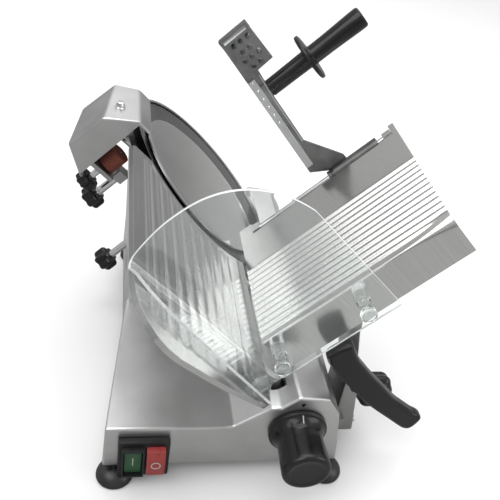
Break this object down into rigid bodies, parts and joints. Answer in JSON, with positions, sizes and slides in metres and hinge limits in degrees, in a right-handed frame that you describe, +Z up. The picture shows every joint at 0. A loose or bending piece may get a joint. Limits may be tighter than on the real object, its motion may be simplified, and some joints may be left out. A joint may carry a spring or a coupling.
{
  "type": "deli meat slicer",
  "caption": "Gravity-feed slicer: tilted round blade, thickness dial and gauge plate, sliding ribbed food tray with clear guard, swinging pusher arm and blade sharpener.",
  "frame": {"origin": "under the middle of the whole machine, on the surface its feet stand on", "axes": "+Z up, +X to the right as the user faces the switch and the dial, +Y towards the back, along the carriage's travel"},
  "size_m": [0.4032, 0.4944, 0.4487],
  "materials": {
    "cast_aluminium": "satin cast and blasted",
    "anodised_plate": "brushed and anodised",
    "stainless_sheet": "polished",
    "blade_steel": "ground and polished",
    "bright_steel": "polished",
    "black_plastic": "gloss",
    "black_rubber": "matte",
    "clear_plastic": "clear gloss",
    "green_plastic": "satin",
    "red_plastic": "satin",
    "abrasive_stone": "gritty",
    "bronze": "machined",
    "motor_paint": "semi gloss"
  },
  "bodies": {
    "frame": {"base_casting": "cast_aluminium", "bottom_cover": "stainless_sheet", "foot_front_left": "black_rubber", "foot_front_right": "black_rubber", "foot_rear_left": "black_rubber", "foot_rear_right": "black_rubber", "blade_housing": "cast_aluminium", "ring_guard": "anodised_plate", "blade_cover": "anodised_plate", "spindle_housing": "cast_aluminium", "bearing_front": "bright_steel", "bearing_rear": "bright_steel", "motor_body": "motor_paint", "drive_belt": "black_rubber", "switch_box": "black_plastic", "power_inlet": "black_plastic", "guide_pin_front": "bright_steel", "guide_pin_rear": "bright_steel", "sharpener_post": "bright_steel", "carriage_rail": "bright_steel"},
    "blade_rotor": {"blade": "blade_steel", "blade_shaft": "bright_steel", "blade_pulley": "cast_aluminium"},
    "motor_rotor": {"motor_shaft": "bright_steel", "motor_pulley": "cast_aluminium"},
    "tie": {"tie_rod": "bright_steel", "tie_knob": "black_plastic"},
    "dial": {"thickness_knob": "black_plastic", "knob_shaft": "bright_steel"},
    "gauge": {"gauge_plate": "anodised_plate", "gauge_bracket": "cast_aluminium"},
    "carriage": {"slide_bush": "bronze", "carriage_arm": "cast_aluminium", "tray": "stainless_sheet", "rod_lug_low": "cast_aluminium", "rod_lug_high": "cast_aluminium", "clear_guard": "clear_plastic", "standoff_low": "clear_plastic", "standoff_high": "clear_plastic", "carriage_handle": "black_plastic", "pusher_rod": "bright_steel"},
    "tray_lock": {"tray_lock_knob": "black_plastic"},
    "pusher_slider": {"pusher_bush": "bronze"},
    "pusher": {"pusher_arm": "cast_aluminium", "pusher_handle": "black_plastic"},
    "sharpener": {"sharpener_cover": "cast_aluminium", "sharpener_bracket": "cast_aluminium"},
    "sharpener_lock": {"sharpener_lock_knob": "black_plastic"},
    "grinding_plunger": {"grinding_button": "black_plastic"},
    "grinding_wheel": {"grinding_stone": "abrasive_stone"},
    "truing_plunger": {"truing_button": "black_plastic"},
    "truing_wheel": {"truing_stone": "abrasive_stone"},
    "start_button": {"green_button": "green_plastic"},
    "stop_button": {"red_button": "red_plastic"}
  },
  "joints": [
    {"name": "blade_spin", "type": "hinge", "parent": "frame", "child": "blade_rotor", "pos_m": [-0.03463, 0.11628, 0.1944], "axis": [0.6947, 0, 0.7193], "continuous": true},
    {"name": "motor_spin", "type": "hinge", "parent": "frame", "child": "motor_rotor", "pos_m": [-0.01305, 0.17128, 0.17356], "axis": [0.6947, 0, 0.7193], "continuous": true},
    {"name": "tie_knob_turn", "type": "hinge", "parent": "frame", "child": "tie", "pos_m": [-0.03463, 0.11628, 0.1944], "axis": [0.6947, 0, 0.7193], "range_deg": [0, 360]},
    {"name": "knob_turn", "type": "hinge", "parent": "frame", "child": "dial", "pos_m": [0.05137, -0.18572, 0.076], "axis": [0, 1, 0], "range_deg": [0, 300]},
    {"name": "gauge_slide", "type": "slide", "parent": "frame", "child": "gauge", "axis": [-0.6947, 0, -0.7193], "range_m": [0, 0.012]},
    {"name": "carriage_slide", "type": "slide", "parent": "frame", "child": "carriage", "axis": [0, 1, 0], "range_m": [0, 0.23]},
    {"name": "tray_lock_turn", "type": "hinge", "parent": "carriage", "child": "tray_lock", "pos_m": [0.13537, -0.12972, 0.076], "axis": [1, 0, 0], "range_deg": [0, 180]},
    {"name": "pusher_slide", "type": "slide", "parent": "carriage", "child": "pusher_slider", "axis": [0.6947, 0, 0.7193], "range_m": [-0.09, 0]},
    {"name": "pusher_swing", "type": "hinge", "parent": "pusher_slider", "child": "pusher", "pos_m": [0.00443, 0.04128, 0.15668], "axis": [0.6947, 0, 0.7193], "range_deg": [0, 84]},
    {"name": "sharpener_lift", "type": "slide", "parent": "frame", "child": "sharpener", "axis": [-0.7193, 0, 0.6947], "range_m": [0, 0.025]},
    {"name": "sharpener_lock_turn", "type": "hinge", "parent": "sharpener", "child": "sharpener_lock", "pos_m": [-0.10009, 0.09728, 0.25761], "axis": [0.6947, 0, 0.7193], "range_deg": [0, 360]},
    {"name": "grinding_push", "type": "slide", "parent": "sharpener", "child": "grinding_plunger", "axis": [0.6947, 0, 0.7193], "range_m": [0, 0.008], "stiffness_N_per_m": 400, "springref_m": -0.004},
    {"name": "grinding_spin", "type": "hinge", "parent": "grinding_plunger", "child": "grinding_wheel", "pos_m": [-0.11951, 0.08428, 0.27637], "axis": [0.6947, 0, 0.7193], "continuous": true},
    {"name": "truing_push", "type": "slide", "parent": "sharpener", "child": "truing_plunger", "axis": [0.6947, 0, 0.7193], "range_m": [0, 0.008], "stiffness_N_per_m": 400, "springref_m": -0.004},
    {"name": "truing_spin", "type": "hinge", "parent": "truing_plunger", "child": "truing_wheel", "pos_m": [-0.12239, 0.13028, 0.27915], "axis": [0.6947, 0, 0.7193], "continuous": true},
    {"name": "green_press", "type": "slide", "parent": "frame", "child": "start_button", "axis": [0, 1, 0], "range_m": [0, 0.003], "stiffness_N_per_m": 600, "springref_m": -0.002},
    {"name": "red_press", "type": "slide", "parent": "frame", "child": "stop_button", "axis": [0, 1, 0], "range_m": [0, 0.003], "stiffness_N_per_m": 600, "springref_m": -0.002}
  ],
  "couplings": [
    {"joint": "motor_spin", "follows": "blade_spin", "ratio": 3.2143},
    {"joint": "knob_turn", "follows": "gauge_slide", "rad_per_m": 436.33}
  ]
}
